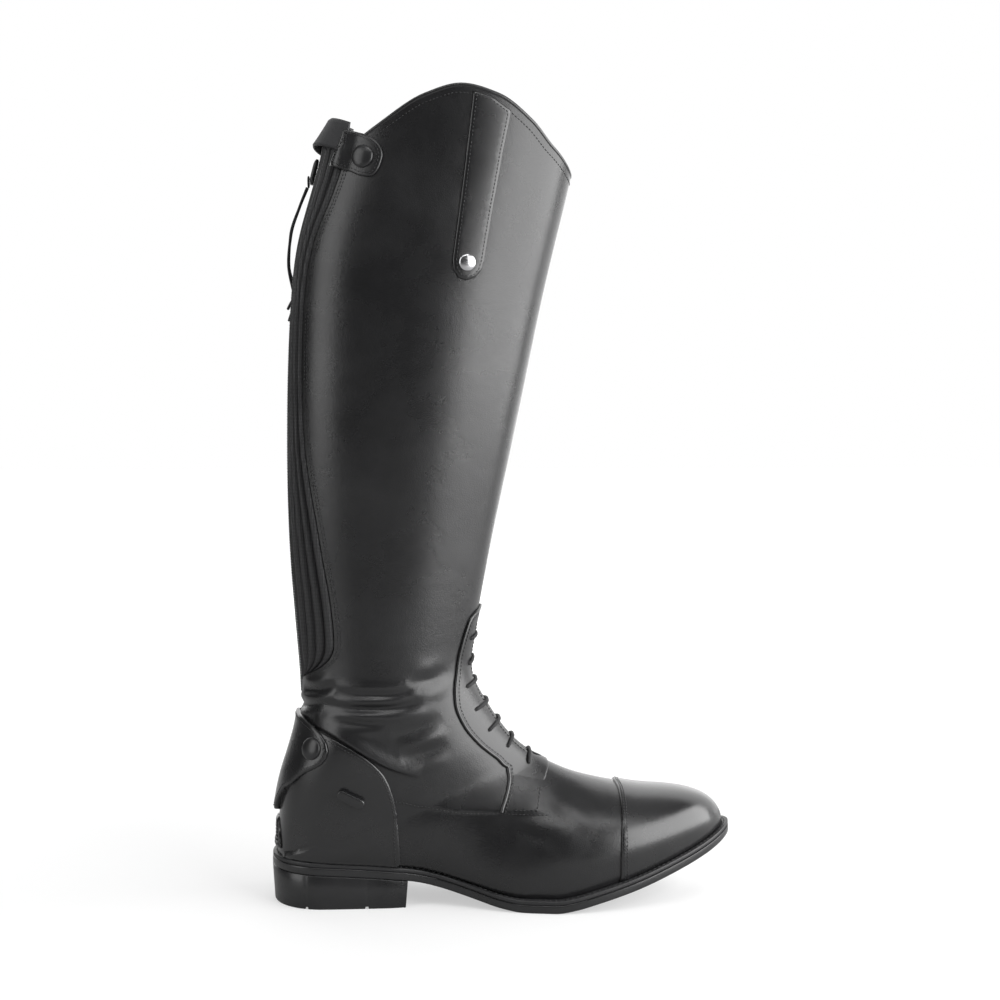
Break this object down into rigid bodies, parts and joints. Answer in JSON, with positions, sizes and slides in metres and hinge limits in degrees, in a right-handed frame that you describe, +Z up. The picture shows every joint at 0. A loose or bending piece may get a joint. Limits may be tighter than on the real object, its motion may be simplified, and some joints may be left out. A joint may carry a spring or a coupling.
{
  "type": "field boot",
  "caption": "Tall black leather field boot with a laced instep, back zip between pleated elastic panels, snap flap over the heel and a high curved collar.",
  "frame": {"origin": "centre of the boot's box on the floor, under its sole", "axes": "+X to the toe, +Y to the medial side, +Z up the shaft; a right boot"},
  "size_m": [0.29, 0.097, 0.4963],
  "materials": {
    "upper_leather": "satin",
    "polished_leather": "gloss",
    "sole_rubber": "satin",
    "welt_leather": "satin",
    "lining": "matte",
    "elastic": "matte",
    "zip_tape_cloth": "matte",
    "zip_plastic": "satin",
    "lace_cord": "matte",
    "snap_enamel": "gloss",
    "slider_metal": "gloss",
    "stud_metal": "gloss"
  },
  "bodies": {
    "root": {"outsole": "sole_rubber", "heel": "sole_rubber", "welt": "welt_leather", "insole": "lining", "upper": "upper_leather", "tongue": "upper_leather", "toe_cap": "polished_leather", "counter": "polished_leather", "back_stay": "polished_leather", "lace_facing": "upper_leather", "gusset_lateral": "elastic", "gusset_medial": "elastic", "zip_tape": "zip_tape_cloth", "zip_teeth": "zip_plastic", "zip_slider": "slider_metal", "collar_strap": "elastic", "strap_tab_lateral": "upper_leather", "strap_tab_medial": "upper_leather", "heel_flap": "polished_leather", "side_strap": "upper_leather", "strap_snap": "snap_enamel", "flap_snap": "snap_enamel", "side_stud": "stud_metal", "spur_rest_lateral": "polished_leather", "spur_rest_medial": "polished_leather", "pull_cord_1": "lace_cord", "pull_cord_2": "lace_cord", "cord_end_1": "lace_cord", "cord_end_2": "lace_cord", "cord_knot": "lace_cord", "lace_bar_1": "lace_cord", "lace_bar_2": "lace_cord", "lace_bar_3": "lace_cord", "lace_bar_4": "lace_cord", "lace_bar_5": "lace_cord", "lace_bar_6": "lace_cord", "lace_bar_7": "lace_cord"}
  },
  "joints": []
}
